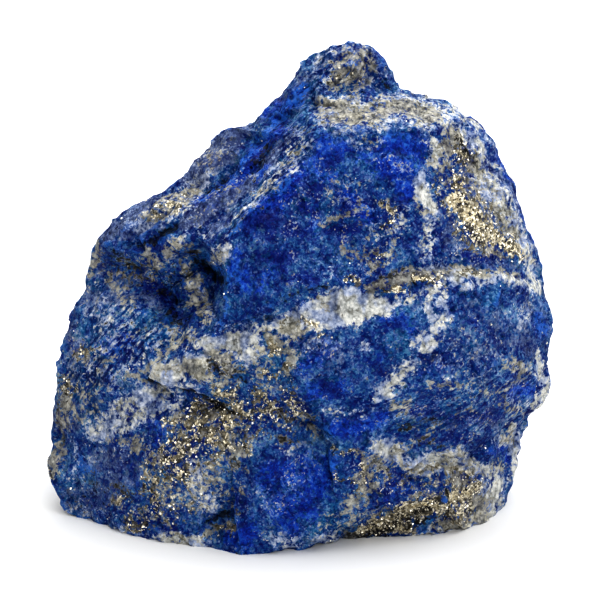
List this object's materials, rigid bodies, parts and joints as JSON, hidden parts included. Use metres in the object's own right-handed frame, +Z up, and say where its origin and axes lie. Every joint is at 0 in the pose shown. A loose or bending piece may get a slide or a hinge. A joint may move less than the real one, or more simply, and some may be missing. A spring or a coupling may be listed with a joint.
{
  "type": "rough lapis lazuli stone",
  "caption": "Rough broken lapis lazuli stone with ledges, an overhang, a hollow in its left side and a peak over a flat shelf; it rests on a small flat spot.",
  "frame": {"origin": "on the ground under the middle of the stone's bounding box", "axes": "+Z up, -Y towards the front that the picture shows, +X to its right"},
  "size_m": [0.066, 0.0466, 0.0598],
  "materials": {
    "stone": "rough broken surface"
  },
  "bodies": {
    "root": {"stone": "stone"}
  },
  "joints": []
}
